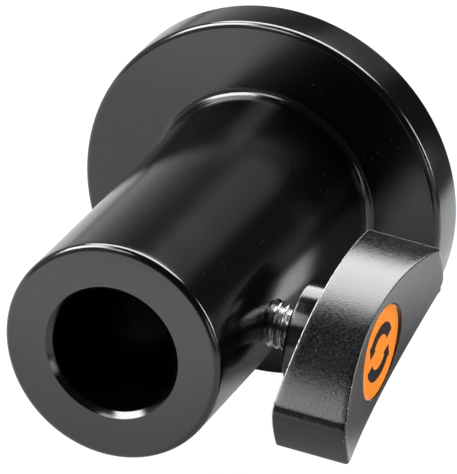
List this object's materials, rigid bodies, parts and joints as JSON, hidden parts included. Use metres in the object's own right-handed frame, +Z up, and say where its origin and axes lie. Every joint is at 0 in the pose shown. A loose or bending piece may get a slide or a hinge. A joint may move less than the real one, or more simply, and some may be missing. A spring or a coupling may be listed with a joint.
{
  "type": "light stand spigot adapter",
  "caption": "Spigot receiver for a light stand: a turned socket with a wing clamp screw, carrying a round tripod-head platform with a threaded stud.",
  "frame": {"origin": "centre of the socket's open mouth, on the barrel's axis", "axes": "-Y out of the socket's mouth, +Y from the barrel towards the platform and its stud, +X out of the barrel's side along the clamp screw to the wing, +Z up"},
  "size_m": [0.0545, 0.065, 0.0486],
  "materials": {
    "black_anodised_gloss": "gloss black anodised, turned",
    "black_anodised_satin": "satin black anodised, brushed",
    "bright_steel": "bright zinc",
    "brass_pad": "turned",
    "black_rubber": "matte",
    "orange_print": "printed",
    "clear_dome": "clear cast resin"
  },
  "bodies": {
    "receiver": {"socket_barrel": "black_anodised_gloss", "platform_disk": "black_anodised_gloss", "platform_screw": "bright_steel", "platform_lock_washer": "bright_steel", "platform_dowel_pins": "bright_steel", "platform_grip_ring": "black_rubber", "thread_insert": "bright_steel"},
    "pad": {"clamp_pad": "brass_pad", "pad_snap_ring": "bright_steel"},
    "knob": {"clamp_screw": "bright_steel", "lock_collar": "black_anodised_satin", "wing_handle": "black_anodised_satin", "badge_disc": "orange_print", "badge_dome": "clear_dome"}
  },
  "joints": [
    {"name": "clamp_travel", "type": "slide", "parent": "receiver", "child": "pad", "axis": [1, 0, 0], "range_m": [-0.00321, 0.00241]},
    {"name": "knob_turn", "type": "hinge", "parent": "pad", "child": "knob", "pos_m": [0.0205, 0.0184, 0], "axis": [1, 0, 0], "range_deg": [-1152, 864]}
  ],
  "couplings": [
    {"joint": "clamp_travel", "follows": "knob_turn", "m_per_rad": 0.00015915}
  ]
}
